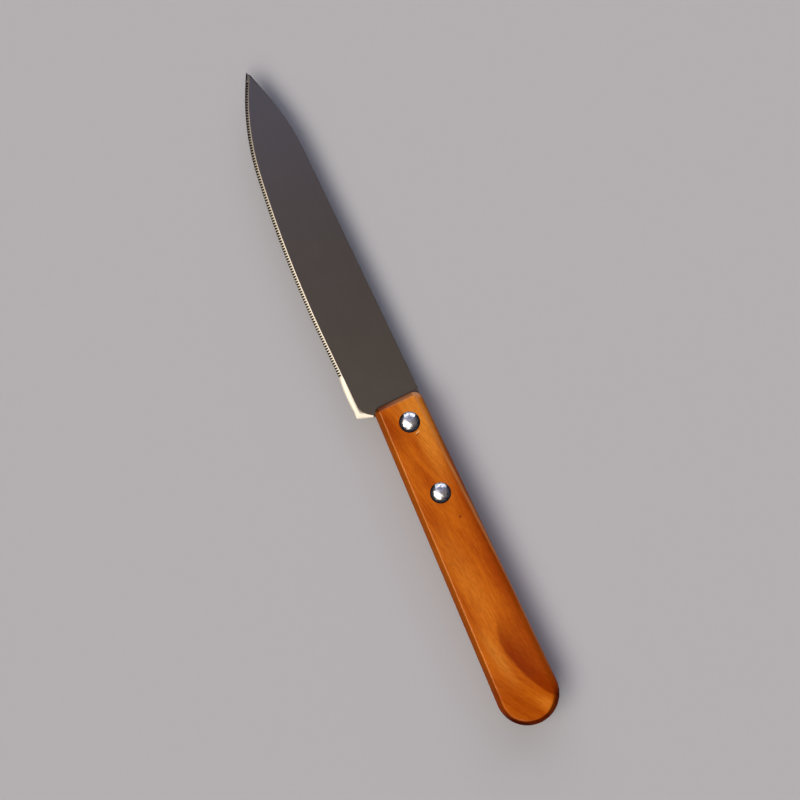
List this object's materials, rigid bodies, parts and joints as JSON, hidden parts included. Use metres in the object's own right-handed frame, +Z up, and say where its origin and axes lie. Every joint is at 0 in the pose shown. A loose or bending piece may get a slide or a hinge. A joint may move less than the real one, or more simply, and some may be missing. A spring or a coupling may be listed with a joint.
{
  "type": "steak knife",
  "caption": "Fixed-blade steak knife: a flat, finely toothed steel blade whose tang is riveted into the saw slot of a round-ended wooden handle.",
  "frame": {"origin": "under the middle of the knife as it lies on its side, level with the lower rivet domes", "axes": "+X from the tip to the butt, +Y from the cutting edge to the spine, +Z up through the side of the handle"},
  "size_m": [0.2196, 0.0212, 0.0126],
  "materials": {
    "blade_steel": "satin",
    "handle_wood": "satin varnish",
    "rivet_steel": "polished"
  },
  "bodies": {
    "root": {"blade": "blade_steel", "handle": "handle_wood", "front_rivet_socket": "rivet_steel", "front_rivet_post": "rivet_steel", "rear_rivet_socket": "rivet_steel", "rear_rivet_post": "rivet_steel"}
  },
  "joints": []
}
